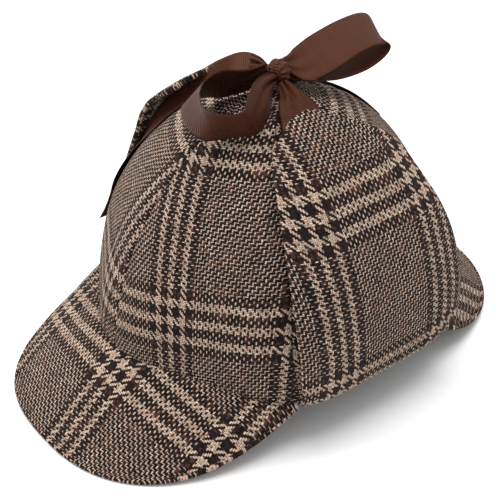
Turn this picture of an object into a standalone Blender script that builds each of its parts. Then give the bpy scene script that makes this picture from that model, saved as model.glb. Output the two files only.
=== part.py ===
"""A deerstalker hat: six crown panels, two brims, two folded ear flaps and a ribbon bow.

Metres, +Z up. The front brim points along -Y and the wearer's left is +X. The hat rests
on the outer edges of its brims, and the origin is at the middle of its box, on the floor.
Angles are degrees: a turn goes round the crown from the front (0) to the wearer's left
(90), and a climb goes up the crown from its lower edge (0) to its top (90).
"""
import math

import bpy
import bmesh
import numpy as np

# Crown
CROWN_HALF_WIDTH = 0.0903
CROWN_HALF_LENGTH = 0.1007
CROWN_TOP = 0.150
CROWN_LEAN = -0.0028
CROWN_WALL = 0.002
PANEL_COUNT = 6
PANEL_RIDGE_SHARE = 0.03
SIDE_FULLNESS = 2.01
TOP_FULLNESS = 1.83
TOP_OPENING = 0.0012
SEAM_CLEARANCE = 0.0003

# Brims
SIDE_SEAM_HEIGHT = 0.0259
END_SEAM_HEIGHT = 0.0389
BRIM_CORNER_TURN = 62.4
BRIM_THICKNESS = 0.003
FRONT_BRIM_REACH = 0.0462
FRONT_BRIM_FULLNESS = 2.49
BACK_BRIM_REACH = 0.0326
BACK_BRIM_FULLNESS = 2.18
BRIM_CORNER_LIFT = 2.76
BRIM_FLAT_SHARE = 0.010
BRIM_FOOT = 0.003
BRIM_FOOT_SHARE = 0.3
BRIM_BULGE = 0.0015
BRIM_END_SHARE = 0.985
HEM = 0.0015

# Ear flaps
FLAP_WALL = 0.003
FLAP_LIFT = 0.0070
FLAP_TURN = 90.0
FLAP_HALF_SPREAD = 90.0 - BRIM_CORNER_TURN
FLAP_ROOT = 0.0025

# Ribbon and bow
RIBBON_WIDTH = 0.024
RIBBON_THICKNESS = 0.001
KNOT_RISE = 0.0105
KNOT_SIDE = 0.0035
KNOT_BACK = 0.0033
KNOT_WIDTH = 0.0125
KNOT_LENGTH = 0.0115
KNOT_HEIGHT = 0.0115
BACK_LOOP_LENGTH = 0.061
FRONT_LOOP_LENGTH = 0.034
CLEARANCE = 0.0003

# Mesh steps
PANEL_COLUMNS = 8
PANEL_ROWS = 12
BRIM_COLUMNS = 32
FLAP_COLUMNS = 12
RIBBON_STEPS = 3
RIBBON_COLUMNS = 4
KNOT_SEGMENTS = 14
KNOT_RINGS = 8
SHARP_ANGLE = 40.0

# Rows up an ear flap. Columns: share of its height, spread as a share of the half spread,
# then the gap to the crown at its front edge, middle and back edge as shares of the lift.
FLAP_ROWS = (
    (0.00, 1.00, 0.00, 0.00, 0.00),
    (0.05, 1.01, 0.45, 0.45, 0.45),
    (0.15, 1.03, 0.80, 0.80, 0.90),
    (0.30, 1.07, 1.00, 1.05, 1.25),
    (0.45, 1.11, 1.00, 1.15, 1.40),
    (0.60, 1.15, 0.90, 1.15, 1.30),
    (0.72, 1.19, 0.85, 1.10, 1.10),
    (0.82, 1.23, 0.90, 1.05, 1.00),
    (0.91, 1.28, 0.95, 1.00, 1.00),
    (1.00, 1.27, 1.00, 1.00, 1.00),
)

# Points along a flap's top edge. Columns: place from front edge (-1) to back edge (1), climb.
FLAP_TOP = (
    (-1.00, 61.0),
    (-0.80, 66.0),
    (-0.55, 69.3),
    (-0.10, 70.4),
    (0.20, 69.2),
    (0.45, 65.6),
    (0.70, 61.5),
    (0.88, 57.0),
    (1.00, 52.0),
)

# Rows along a ribbon that follows the crown. Columns: turn, climb, gap to the crown as a
# share of the gap where the ribbon is seated, width as a share of the ribbon, and how far
# its width bends with the crown, from 0 (flat) to 1 (as round as the crown).
# The ties are seated under the flaps' tips.
TIE_LEFT_ROWS = (
    (91.0, 82.9, 1.35, 0.30, 0.0),
    (90.0, 78.5, 1.12, 0.50, 0.3),
    (86.0, 74.5, 0.99, 0.75, 0.9),
    (83.0, 70.5, 0.94, 0.95, 1.0),
    (80.0, 66.5, 0.94, 1.00, 1.0),
    (80.0, 62.0, 0.94, 1.00, 1.0),
)
TIE_RIGHT_ROWS = (
    (-104.0, 87.6, 1.25, 0.30, 0.0),
    (-98.0, 81.0, 1.10, 0.60, 0.2),
    (-96.0, 75.0, 0.98, 0.90, 0.9),
    (-95.0, 69.5, 0.95, 1.00, 1.0),
    (-95.0, 64.0, 0.95, 1.00, 1.0),
)
# The front tail is seated on the right flap's outer side, and drops off it to the crown.
TAIL_FRONT_ROWS = (
    (-84.0, 87.8, 1.09, 0.45, 0.0),
    (-82.0, 82.0, 1.20, 0.80, 0.0),
    (-78.0, 75.0, 1.18, 1.00, 0.3),
    (-69.0, 68.0, 1.09, 1.00, 0.8),
    (-60.0, 60.0, 1.03, 1.00, 1.0),
    (-51.0, 53.0, 1.01, 1.00, 1.0),
    (-45.0, 46.0, 0.84, 1.00, 0.6),
    (-43.0, 39.0, 0.55, 1.00, 0.6),
    (-43.0, 32.0, 0.30, 1.00, 1.0),
    (-43.0, 26.0, 0.14, 1.00, 1.0),
    (-43.0, 20.0, 0.09, 1.00, 1.0),
)
# The back tail is seated on the crown.
TAIL_BACK_ROWS = (
    (160.0, 84.3, 8.60, 0.45, 0.0),
    (166.0, 79.0, 5.20, 0.80, 0.2),
    (171.0, 72.0, 2.40, 1.00, 0.8),
    (173.0, 63.0, 1.20, 1.00, 1.0),
    (173.0, 54.0, 1.15, 1.00, 1.0),
    (172.0, 45.0, 1.15, 1.00, 1.0),
)

# Rows round the back loop, as shares of its length from the knot. Columns: back, left, up,
# width as a share of the ribbon, and the direction of the width (back, left, up).
BACK_LOOP_ROWS = (
    (0.092, 0.00, 0.040, 0.60, (-0.22, 0.95, -0.20)),
    (0.24, 0.02, 0.030, 0.90, (-0.22, 0.95, -0.38)),
    (0.42, 0.04, 0.050, 1.00, (-0.22, 0.95, -0.40)),
    (0.68, 0.04, 0.098, 1.00, (-0.20, 0.95, -0.30)),
    (0.90, 0.04, 0.090, 1.00, (-0.18, 0.96, -0.20)),
    (1.00, 0.04, 0.045, 1.00, (-0.16, 0.97, -0.18)),
    (1.00, 0.04, -0.015, 1.00, (-0.16, 0.97, -0.18)),
    (0.92, 0.04, -0.070, 1.00, (-0.16, 0.97, -0.18)),
    (0.74, 0.04, -0.110, 1.00, (-0.18, 0.96, -0.16)),
    (0.48, 0.03, -0.105, 1.00, (-0.20, 0.95, -0.14)),
    (0.26, 0.02, -0.060, 0.86, (-0.20, 0.95, -0.16)),
    (0.100, 0.00, -0.030, 0.60, (-0.20, 0.95, -0.18)),
)

# The front loop lies in a plane tilted to face up and forward. Its rows are shares of its
# length. Columns: across, along and out of that plane, width as a share of the ribbon,
# and the direction of the width in the same three directions.
FRONT_LOOP_ACROSS = (0.626, 0.780, 0.0)
FRONT_LOOP_ALONG = (-0.678, 0.544, 0.490)
FRONT_LOOP_OUT = (0.356, -0.339, 0.869)
FRONT_LOOP_ROWS = (
    (-0.187, 0.017, 0.034, 0.45, (0.0, 0.10, 1.0)),
    (-0.55, -0.24, 0.10, 0.75, (0.0, 0.08, 1.0)),
    (-0.83, -0.31, 0.14, 1.00, (0.0, 0.05, 1.0)),
    (-1.12, -0.38, 0.12, 1.00, (0.15, 0.04, 0.98)),
    (-1.26, -0.56, 0.12, 1.00, (0.38, 0.04, 0.92)),
    (-1.14, -0.86, 0.16, 1.00, (0.38, 0.05, 0.92)),
    (-0.92, -1.08, 0.24, 1.00, (0.15, 0.02, 0.98)),
    (-0.67, -1.16, 0.31, 1.00, (-0.08, -0.03, 1.0)),
    (-0.41, -1.08, 0.34, 1.00, (-0.30, -0.10, 0.95)),
    (-0.27, -0.78, 0.35, 0.85, (-0.47, -0.16, 0.88)),
    (-0.19, -0.44, 0.24, 0.55, (-0.45, -0.15, 0.88)),
    (-0.066, -0.172, 0.057, 0.35, (-0.30, -0.10, 0.95)),
)

LIGHT_TWEED = (0.42, 0.36, 0.31, 1.0)
DARK_TWEED = (0.20, 0.16, 0.14, 1.0)
RIBBON_BROWN = (0.13, 0.045, 0.025, 1.0)
CLOTH_ROUGHNESS = 0.9
RIBBON_ROUGHNESS = 0.55


def crown_point(turn, climb, out=0.0):
    """A point on the crown's outer surface, or a distance outside it."""
    angle = math.radians(turn)
    lift = math.radians(max(climb, 0.0))
    foot = SIDE_SEAM_HEIGHT - HEM
    height = math.sin(lift) ** (2 / SIDE_FULLNESS)
    narrowing = math.cos(lift) ** (2 / TOP_FULLNESS)
    ridge = 1 + PANEL_RIDGE_SHARE * math.cos(PANEL_COUNT * angle)
    x = (CROWN_HALF_WIDTH + out) * ridge * math.sin(angle) * narrowing
    y = -(CROWN_HALF_LENGTH + out) * ridge * math.cos(angle) * narrowing
    y += CROWN_LEAN * height ** 2
    return np.array((x, y, foot + (CROWN_TOP + out - foot) * height))


def climb_at_height(z):
    """The climb at which the crown's outer surface reaches a height."""
    foot = SIDE_SEAM_HEIGHT - HEM
    share = min(max((z - foot) / (CROWN_TOP - foot), 0.0), 1.0)
    return math.degrees(math.asin(share ** (SIDE_FULLNESS / 2)))


def seam_height(turn):
    """The height at which a brim meets the crown. It drops to the sides."""
    from_end = abs((turn + 90) % 180 - 90)
    share = min(from_end / BRIM_CORNER_TURN, 1.0)
    return SIDE_SEAM_HEIGHT + (END_SEAM_HEIGHT - SIDE_SEAM_HEIGHT) * (1 - share ** 2)


def origin_shift():
    """Moves the hat so that its brim tips lie as far before the origin as behind it."""
    return np.array((0.0, (FRONT_BRIM_REACH - BACK_BRIM_REACH) / 2, 0.0))


def smooth(rows, steps):
    """A smooth curve through rows of numbers, with a few steps between each two."""
    rows = np.array(rows, float)
    padded = np.vstack((2 * rows[0] - rows[1], rows, 2 * rows[-1] - rows[-2]))
    points = []
    for i in range(1, len(padded) - 2):
        before, start, end, after = padded[i - 1:i + 3]
        for step in range(steps):
            t = step / steps
            points.append(0.5 * (2 * start + (end - before) * t
                                 + (2 * before - 5 * start + 4 * end - after) * t ** 2
                                 + (3 * start - before - 3 * end + after) * t ** 3))
    points.append(rows[-1])
    return np.array(points)


def along(table, place):
    """A table's columns at a place in its first column."""
    table = np.array(table, float)
    return [np.interp(place, table[:, 0], table[:, k]) for k in range(1, table.shape[1])]


def plain_material(name, colour, roughness):
    material = bpy.data.materials.new(name)
    material.use_nodes = True
    shader = material.node_tree.nodes["Principled BSDF"]
    shader.inputs["Base Color"].default_value = colour
    shader.inputs["Roughness"].default_value = roughness
    shader.inputs["Metallic"].default_value = 0.0
    return material


def new_object(name, mesh, collection, colour, roughness):
    """Puts a finished mesh in the hat's collection, smooth apart from its sharp edges."""
    mesh.shade_smooth()
    mesh.set_sharp_from_angle(angle=math.radians(SHARP_ANGLE))
    mesh.materials.append(plain_material(name, colour, roughness))
    piece = bpy.data.objects.new(name, mesh)
    collection.objects.link(piece)
    return piece


def loft(name, outer, inner):
    """A closed wall between an outer and an inner grid of points."""
    rows, columns = len(outer), len(outer[0])
    bm = bmesh.new()
    grids = [[[bm.verts.new(p) for p in row] for row in grid] for grid in (outer, inner)]
    for grid in grids:
        for i in range(rows - 1):
            for j in range(columns - 1):
                bm.faces.new((grid[i][j], grid[i][j + 1], grid[i + 1][j + 1], grid[i + 1][j]))
    front, back = grids
    border = [(0, j) for j in range(columns)]
    border += [(i, columns - 1) for i in range(1, rows)]
    border += [(rows - 1, j) for j in range(columns - 2, -1, -1)]
    border += [(i, 0) for i in range(rows - 2, 0, -1)]
    for (i, j), (k, m) in zip(border, border[1:] + border[:1]):
        bm.faces.new((front[i][j], front[k][m], back[k][m], back[i][j]))
    bmesh.ops.recalc_face_normals(bm, faces=bm.faces)
    mesh = bpy.data.meshes.new(name)
    bm.to_mesh(mesh)
    bm.free()
    return mesh


def across_seam(turn):
    """The level direction across a panel seam, toward larger turns."""
    step = crown_point(turn + 1, 0) - crown_point(turn - 1, 0)
    radial = crown_point(turn, 0)
    radial = radial / np.linalg.norm(radial[:2])
    level = np.array((-radial[1], radial[0], 0.0))
    return level if level @ step > 0 else -level


def crown_panel(index):
    """One panel of the crown, drawn in from its two seams by half the seam clearance."""
    width = 360 / PANEL_COUNT
    start, end = index * width, (index + 1) * width
    top = math.degrees(math.acos((TOP_OPENING / CROWN_HALF_WIDTH) ** (TOP_FULLNESS / 2)))
    outer, inner = [], []
    for row in range(PANEL_ROWS + 1):
        outer_row, inner_row = [], []
        for column in range(PANEL_COLUMNS + 1):
            share = column / PANEL_COLUMNS
            turn = start + (end - start) * share
            edge = climb_at_height(seam_height(turn) - HEM)
            climb = edge + (top - edge) * row / PANEL_ROWS
            drawn_in = across_seam(start) * (1 - share) - across_seam(end) * share
            drawn_in = drawn_in * SEAM_CLEARANCE / 2
            outer_row.append(crown_point(turn, climb) + drawn_in + SHIFT)
            inner_row.append(crown_point(turn, climb, -CROWN_WALL) + drawn_in + SHIFT)
        outer.append(outer_row)
        inner.append(inner_row)
    return loft(f"crown_panel_{index + 1}", outer, inner)


def brim_edge(share, facing, reach, fullness):
    """A point on a brim's outer edge. The share runs from corner (-1) to corner (1)."""
    corner = crown_point(BRIM_CORNER_TURN, 0)
    tip = CROWN_HALF_LENGTH * (1 + PANEL_RIDGE_SHARE) + reach
    sweep = math.radians(90 * (1 - abs(share)))
    x = math.copysign(corner[0], share) * math.cos(sweep) ** (2 / fullness)
    forward = abs(corner[1]) + (tip - abs(corner[1])) * math.sin(sweep) ** (2 / fullness)
    drop = max((1 - math.sin(sweep)) ** BRIM_CORNER_LIFT - BRIM_FLAT_SHARE, 0) / (1 - BRIM_FLAT_SHARE)
    return np.array((x, facing * forward, (SIDE_SEAM_HEIGHT - BRIM_THICKNESS) * drop))


def brim(name, facing, reach, fullness):
    """A brim: it butts against the crown, slopes down and lies flat along its outer edge."""
    top_rows, bottom_rows = [], []
    for column in range(BRIM_COLUMNS + 1):
        share = BRIM_END_SHARE * (2 * column / BRIM_COLUMNS - 1)
        turn = share * BRIM_CORNER_TURN
        if facing > 0:
            turn = 180 - turn
        seam = seam_height(turn)
        edge = brim_edge(share, facing, reach, fullness)
        seat = crown_point(turn, climb_at_height(seam - BRIM_THICKNESS), CLEARANCE)
        width = np.linalg.norm(edge[:2] - seat[:2])
        drop = seat[2] - edge[2]
        slant = math.hypot(width, drop) / width
        foot = 1 - min(BRIM_FOOT / width, BRIM_FOOT_SHARE)
        top, bottom = [], []
        for place in (0.0, 0.3 * foot, 0.65 * foot, foot, 1.0):
            down = min(place / foot, 1.0)
            low = seat + (edge - seat) * place
            low[2] = seat[2] - drop * down + BRIM_BULGE * math.sin(math.pi * down)
            thick = BRIM_THICKNESS * (slant if place < foot else 1.0)
            high = low + np.array((0.0, 0.0, thick))
            if place == 0.0:
                seated = crown_point(turn, climb_at_height(high[2]), CLEARANCE)
                low[:2] = crown_point(turn, climb_at_height(low[2]), CLEARANCE)[:2]
                high[:2] = seated[:2]
            top.append(high + SHIFT)
            bottom.append(low + SHIFT)
        top_rows.append(top)
        bottom_rows.append(bottom)
    return loft(name, top_rows, bottom_rows)


def flap_point(side, place, share, out):
    """A point on an ear flap. The place runs from its front edge (-1) to its back edge (1)."""
    spread, front, middle, back = along(FLAP_ROWS, share)
    ahead, behind = max(-place, 0.0), max(place, 0.0)
    lift = middle + (front - middle) * ahead ** 2 + (back - middle) * behind ** 2
    turn = FLAP_TURN + place * spread * FLAP_HALF_SPREAD
    root = climb_at_height(SIDE_SEAM_HEIGHT - HEM + FLAP_ROOT)
    climb = root + (along(FLAP_TOP, place)[0] - root) * share
    gap = CLEARANCE + FLAP_LIFT * lift
    return crown_point(side * turn, climb, gap + out) + SHIFT


def ear_flap(name, side):
    """A flap folded up at the crown's lower edge, standing a little off the crown."""
    places = np.linspace(-1, 1, FLAP_COLUMNS + 1)
    shares = [row[0] for row in FLAP_ROWS]
    outer = [[flap_point(side, place, share, FLAP_WALL) for place in places] for share in shares]
    inner = [[flap_point(side, place, share, 0.0) for place in places] for share in shares]
    return loft(name, outer, inner)


def strip(name, lines):
    """A sheet through lines of points that run across a ribbon, one after another."""
    bm = bmesh.new()
    verts = [[bm.verts.new(point) for point in line] for line in lines]
    for line, after in zip(verts, verts[1:]):
        for j in range(len(line) - 1):
            bm.faces.new((line[j], line[j + 1], after[j + 1], after[j]))
    mesh = bpy.data.meshes.new(name)
    bm.to_mesh(mesh)
    bm.free()
    return mesh


def run_at(centres, i):
    """The direction of a middle line at one of its points."""
    run = centres[min(i + 1, len(centres) - 1)] - centres[max(i - 1, 0)]
    return run / np.linalg.norm(run)


def free_ribbon(name, centres, widths, directions):
    """A ribbon along a free middle line, with the direction of its width at each point."""
    lines = []
    for i, centre in enumerate(centres):
        run = run_at(centres, i)
        level = directions[i] - run * (directions[i] @ run)
        half = level / np.linalg.norm(level) * widths[i] * RIBBON_WIDTH / 2
        lines.append((centre - half, centre + half))
    return strip(name, lines)


def crown_ribbon(name, rows, seat):
    """A ribbon laid over the crown, seated at a gap to it, with its width along the surface."""
    rows = smooth(rows, RIBBON_STEPS)
    centres = [crown_point(turn, climb, seat * share) for turn, climb, share in rows[:, :3]]
    lines = []
    for i, (turn, climb, share, width, bend) in enumerate(rows):
        round_crown = (crown_point(turn + 1, climb) - crown_point(turn - 1, climb)) / 2
        up_crown = crown_point(turn, climb + 0.5) - crown_point(turn, climb - 0.5)
        level = np.cross(run_at(centres, i), np.cross(up_crown, round_crown))
        level = level / np.linalg.norm(level)
        line = []
        for place in np.linspace(-1, 1, RIBBON_COLUMNS + 1):
            aside = level * place * width * RIBBON_WIDTH / 2
            flat = centres[i] + aside
            if bend > 0:
                turned = turn + aside @ round_crown / (round_crown @ round_crown)
                climbed = climb + aside @ up_crown / (up_crown @ up_crown)
                flat += (crown_point(turned, climbed, seat * share) - flat) * min(bend, 1.0)
            line.append(flat + SHIFT)
        lines.append(line)
    return strip(name, lines)


def knot_centre():
    """The middle of the bow's knot, held above the crown by the two ties."""
    return np.array((KNOT_SIDE, CROWN_LEAN + KNOT_BACK, CROWN_TOP + KNOT_RISE)) + SHIFT


def back_loop():
    rows = smooth([row[:4] + row[4] for row in BACK_LOOP_ROWS], RIBBON_STEPS)
    centres = [knot_centre() + BACK_LOOP_LENGTH * np.array((left, back, up))
               for back, left, up in rows[:, :3]]
    directions = [np.array((left, back, up)) for back, left, up in rows[:, 4:]]
    return free_ribbon("bow_loop_back", centres, rows[:, 3], directions)


def front_loop():
    rows = smooth([row[:4] + row[4] for row in FRONT_LOOP_ROWS], RIBBON_STEPS)
    frame = np.array((FRONT_LOOP_ACROSS, FRONT_LOOP_ALONG, FRONT_LOOP_OUT))
    centres = [knot_centre() + FRONT_LOOP_LENGTH * row @ frame for row in rows[:, :3]]
    directions = [row @ frame for row in rows[:, 4:]]
    return free_ribbon("bow_loop_front", centres, rows[:, 3], directions)


def bow_knot():
    """The knot: a rounded lump that every ribbon runs into."""
    bm = bmesh.new()
    bmesh.ops.create_uvsphere(bm, u_segments=KNOT_SEGMENTS, v_segments=KNOT_RINGS, radius=1)
    half_size = np.array((KNOT_WIDTH, KNOT_LENGTH, KNOT_HEIGHT)) / 2
    for vert in bm.verts:
        vert.co = knot_centre() + np.array(vert.co) * half_size
    mesh = bpy.data.meshes.new("bow_knot")
    bm.to_mesh(mesh)
    bm.free()
    return mesh


def build_hat():
    for old in list(bpy.data.objects):
        bpy.data.objects.remove(old)
    hat = bpy.data.collections.new("deerstalker_hat")
    bpy.context.scene.collection.children.link(hat)

    for index in range(PANEL_COUNT):
        mesh = crown_panel(index)
        new_object(mesh.name, mesh, hat, LIGHT_TWEED if index % 2 else DARK_TWEED, CLOTH_ROUGHNESS)
    brims = (("front_brim", -1, FRONT_BRIM_REACH, FRONT_BRIM_FULLNESS),
             ("back_brim", 1, BACK_BRIM_REACH, BACK_BRIM_FULLNESS))
    for name, facing, reach, fullness in brims:
        new_object(name, brim(name, facing, reach, fullness), hat, LIGHT_TWEED, CLOTH_ROUGHNESS)
    for name, side in (("ear_flap_left", 1), ("ear_flap_right", -1)):
        new_object(name, ear_flap(name, side), hat, DARK_TWEED, CLOTH_ROUGHNESS)

    on_crown = CLEARANCE + RIBBON_THICKNESS / 2
    under_flap = FLAP_LIFT - RIBBON_THICKNESS / 2
    on_flap = CLEARANCE + FLAP_LIFT + FLAP_WALL + on_crown
    strips = [crown_ribbon("tie_left", TIE_LEFT_ROWS, under_flap),
              crown_ribbon("tie_right", TIE_RIGHT_ROWS, under_flap),
              crown_ribbon("bow_tail_front", TAIL_FRONT_ROWS, on_flap),
              crown_ribbon("bow_tail_back", TAIL_BACK_ROWS, on_crown),
              back_loop(),
              front_loop()]
    for mesh in strips:
        band = new_object(mesh.name, mesh, hat, RIBBON_BROWN, RIBBON_ROUGHNESS)
        wall = band.modifiers.new("thickness", "SOLIDIFY")
        wall.thickness = RIBBON_THICKNESS
        wall.offset = 0.0
        wall.use_even_offset = True
    new_object("bow_knot", bow_knot(), hat, RIBBON_BROWN, RIBBON_ROUGHNESS)


SHIFT = origin_shift()
build_hat()
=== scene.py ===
import math

import bpy
import numpy as np
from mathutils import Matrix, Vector, noise


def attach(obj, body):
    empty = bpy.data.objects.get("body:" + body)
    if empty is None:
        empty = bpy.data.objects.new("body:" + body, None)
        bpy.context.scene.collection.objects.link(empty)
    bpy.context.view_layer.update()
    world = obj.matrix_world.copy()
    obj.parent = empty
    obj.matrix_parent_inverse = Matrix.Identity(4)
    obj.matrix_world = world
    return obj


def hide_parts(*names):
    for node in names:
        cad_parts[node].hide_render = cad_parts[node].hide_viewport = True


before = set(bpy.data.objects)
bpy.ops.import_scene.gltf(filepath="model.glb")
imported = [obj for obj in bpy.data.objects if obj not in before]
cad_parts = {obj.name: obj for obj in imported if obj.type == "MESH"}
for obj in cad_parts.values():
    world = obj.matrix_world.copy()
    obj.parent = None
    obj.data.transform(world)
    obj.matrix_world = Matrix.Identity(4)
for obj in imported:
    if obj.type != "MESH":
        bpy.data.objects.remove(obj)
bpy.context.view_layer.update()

# The hat's own sizes, in metres, are those of its solids. Angles are degrees: a turn goes
# round the crown from the front (0) to the wearer's left (90), and a climb goes up the
# crown from its lower edge (0) to its top (90).

# Crown
CROWN_HALF_WIDTH = 0.0903
CROWN_HALF_LENGTH = 0.1007
CROWN_TOP = 0.150
CROWN_LEAN = -0.0028
CROWN_WALL = 0.002
GORE_COUNT = 6
GORE_RIDGE_SHARE = 0.03
SIDE_FULLNESS = 2.01
TOP_FULLNESS = 1.83
TOP_OPENING = 0.0006
SEAM_ROUND = 0.0016

# Brims
SIDE_SEAM_HEIGHT = 0.0259
END_SEAM_HEIGHT = 0.0389
BRIM_CORNER_TURN = 62.4
BRIM_WALL = 0.003
BRIM_CORNER_LIFT = 2.76
BRIM_FLAT_SHARE = 0.010
BRIM_FOOT = 0.003
BRIM_FOOT_SHARE = 0.3
BRIM_BULGE = 0.0015
BRIM_END_SHARE = 0.995

# The seam between the crown and the brims. The crown's solids end a hem below it. Their
# cloth goes on further, behind the brims, and the brims dip where they meet it.
HEM = 0.0015
SEAM_ALLOWANCE = 0.0035
SEAM_CREASE = 0.0014
SEAM_CREASE_WIDTH = 0.0032

# Columns: node, facing, reach beyond the crown, fullness of the outline.
BRIMS = (
    ("front_brim", -1, 0.0462, 2.49),
    ("back_brim", 1, 0.0326, 2.18),
)

# Ear flaps. The first column is the node and the second the side: the wearer's left is 1.
FLAPS = (
    ("ear_flap_left", 1),
    ("ear_flap_right", -1),
)
FLAP_WALL = 0.003
FLAP_LIFT = 0.0070
FLAP_TURN = 90.0
FLAP_HALF_SPREAD = 90.0 - BRIM_CORNER_TURN
FLAP_ROOT = 0.0010

# Ribbon and bow. The knot's place is measured from the top of the crown. Its pleats run
# round it in the direction of its wrap, and twist as they go.
RIBBON_WIDTH = 0.024
RIBBON_WALL = 0.0006
RIBBON_SEAT = 0.0008
KNOT_RISE = 0.0105
KNOT_SIDE = 0.0035
KNOT_BACK = 0.0033
KNOT_SIZE = (0.0125, 0.0115, 0.0120)
KNOT_PLEATS = 9
KNOT_PLEAT_SHARE = 0.07
KNOT_TWIST = 4.0
KNOT_WRAP = (0.8, 0.6)
BACK_LOOP_LENGTH = 0.061
FRONT_LOOP_LENGTH = 0.034
PLEAT_DEPTH = 0.0022
PLEAT_WAVES = 2.5
PLEATED_TAIL_ROWS = 1.5
CLEARANCE = 0.0003

# How uneven soft cloth is: height, width of the swells, and where in the noise they start.
GORE_UNEVENNESS = (0.0010, 0.035, 0.0)
FLAP_UNEVENNESS = (0.0008, 0.030, 5.0)

# Cloth. Threads of the warp and the weft: pitch, threads in a dark and in a light stripe,
# threads in a group of stripes, and threads from one group to the next. Each yarn runs over
# as many threads as it then runs under.
FLOAT_THREADS = 2.0
WARP_PITCH = 0.000745
WARP_STRIPES = (5, 4, 32, 81)
WEFT_PITCH = 0.00089
WEFT_STRIPES = (6, 5, 39, 104)

# Colours of the yarns, and of the gaps beside fine and broad pale yarns: the dark yarn beneath,
# painted darker as shade between the yarns. Then how full each kind of yarn is, how sharp its
# edges look and how high it stands.
DARK_YARN = ((0.0065, 0.0050, 0.0052, 1), (0.026, 0.0165, 0.014, 1))
RUST_YARN = (0.085, 0.033, 0.024, 1)
PALE_YARN = ((0.36, 0.260, 0.198, 1), (0.68, 0.52, 0.40, 1))
PINK_YARN = (0.56, 0.36, 0.27, 1)
YARN_GAP_PAINTED_SHADE = ((0.014, 0.010, 0.009, 1), (0.070, 0.048, 0.036, 1))
FINE_WARP = 0.40
FINE_WEFT = 0.27
BROAD_YARN = 0.54
YARN_SHARPNESS = 5.0
YARN_RELIEF = 0.00030

# How far threads stray from true, in threads, and how often. Then the chances from which a
# crossing is sunk and a length of yarn is rust or pink, how strongly sunk and rust yarns
# show, how often a yarn changes its shade, how fine and how high the fuzz is and how far it
# reaches past a yarn's edge, and the detail of softer noises.
STRAY_THREADS = 1.7
STRAY_SCALE = 0.09
SUNK_CHANCE = 0.91
RUST_CHANCE = 0.86
PINK_CHANCE = 0.90
FLECK_STRENGTH = 0.75
SHADE_CHANGES = 0.13
FUZZ_SCALE = 2600.0
FUZZ_DETAIL = 3.0
FUZZ_HEIGHT = 1.1
FUZZ_REACH = 0.5
SOFT_DETAIL = 2.0

# How much each crossing and the fuzz lighten the cloth, above its darkest shade. Then where
# the chances of the weft and of the crossings start, which keeps them apart from the warp's.
SPOT_SHADE = 0.35
FUZZ_SHADE = 0.5
DARKEST_SHADE = 0.55
WEFT_STRAY_START = 40.0
WEFT_SHADE_START = 517.0
SPOT_START = 91.0
TWEED_FINISH = {
    "Roughness": 0.95,
    "Specular IOR Level": 0.08,
    "Sheen Weight": 0.05,
    "Sheen Roughness": 0.4,
    "Sheen Tint": (1.0, 0.80, 0.72, 1),
}

# Ribbon: two shades of brown, the painted shade in the valleys between its ribs and the colour
# of its woven edges, and how strongly the last two show. Then how much its ribs and its
# clouds vary the brown, and where the chances of the ribs start.
RIBBON_BROWNS = ((0.038, 0.0100, 0.0046, 1), (0.074, 0.0200, 0.0092, 1))
RIB_VALLEY_PAINTED_SHADE = (0.010, 0.004, 0.003, 1)
WOVEN_EDGE = (0.012, 0.005, 0.004, 1)
VALLEY_PAINTED_SHADE_STRENGTH = 0.6
EDGE_STRENGTH = 0.7
RIB_SHADE = 0.35
CLOUD_SHADE = 0.65
RIB_START = 3.0
WOVEN_EDGE_WIDTH = 0.0007
RIB_PITCH = 0.00115
RIB_RELIEF = 0.00022
RIBBON_CLOUDS = 90.0
RIBBON_FINISH = {
    "Roughness": 0.48,
    "Specular IOR Level": 0.30,
    "Specular Tint": (1.0, 0.50, 0.34, 1),
}

# The sockets of a colour mixing node: factor and two colours, then the result.
MIX_INPUTS = (0, 6, 7)
MIX_RESULT = 2

SHIFT = np.array((0.0, (BRIMS[0][2] - BRIMS[1][2]) / 2, 0.0))

# How the cloth of each piece is cut. Columns: stretch across and along the grain, below zero
# where the grain runs the other way, slant of the grain, how the warp and the weft draw in
# or open up along it (per metre), bend of the grain across and along (per metre), then the
# place of the pattern in threads.
CUTS = {
    "crown_gore_1": (1.066, 1.0, 0.0636, -1.90, 0.15, -3.0, 0.0, 32.8, -26.7),
    "crown_gore_2": (1.066, 1.0, 0.0, -1.90, 0.15, 0.0, 0.0, 12.0, -26.7),
    "crown_gore_3": (1.066, 1.0, 0.0, -1.90, 0.15, 0.0, 0.0, 55.0, -26.7),
    "crown_gore_4": (1.066, 1.0, 0.0, -1.90, 0.15, 0.0, 0.0, 26.0, -26.7),
    "crown_gore_5": (1.066, 1.0, 0.0, -1.90, 0.15, 0.0, 0.0, 5.0, -26.7),
    "crown_gore_6": (1.066, 1.0, 0.0, -1.90, 0.15, 0.0, 0.0, 60.0, -26.7),
    "front_brim": (0.856, -1.207, 0.017, 0.0, 0.0, 0.878, 3.485, 3.8, -115.2),
    "back_brim": (0.856, -1.207, 0.0, 0.0, 0.0, 0.0, 3.485, 20.0, -80.0),
    "ear_flap_left": (0.879, 0.963, 0.0, -0.465, 0.0, 0.0, 0.0, 51.9, -88.8),
    "ear_flap_right": (0.879, 0.963, 0.0, -0.465, 0.0, 0.0, 0.0, 40.0, -88.8),
}

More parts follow.
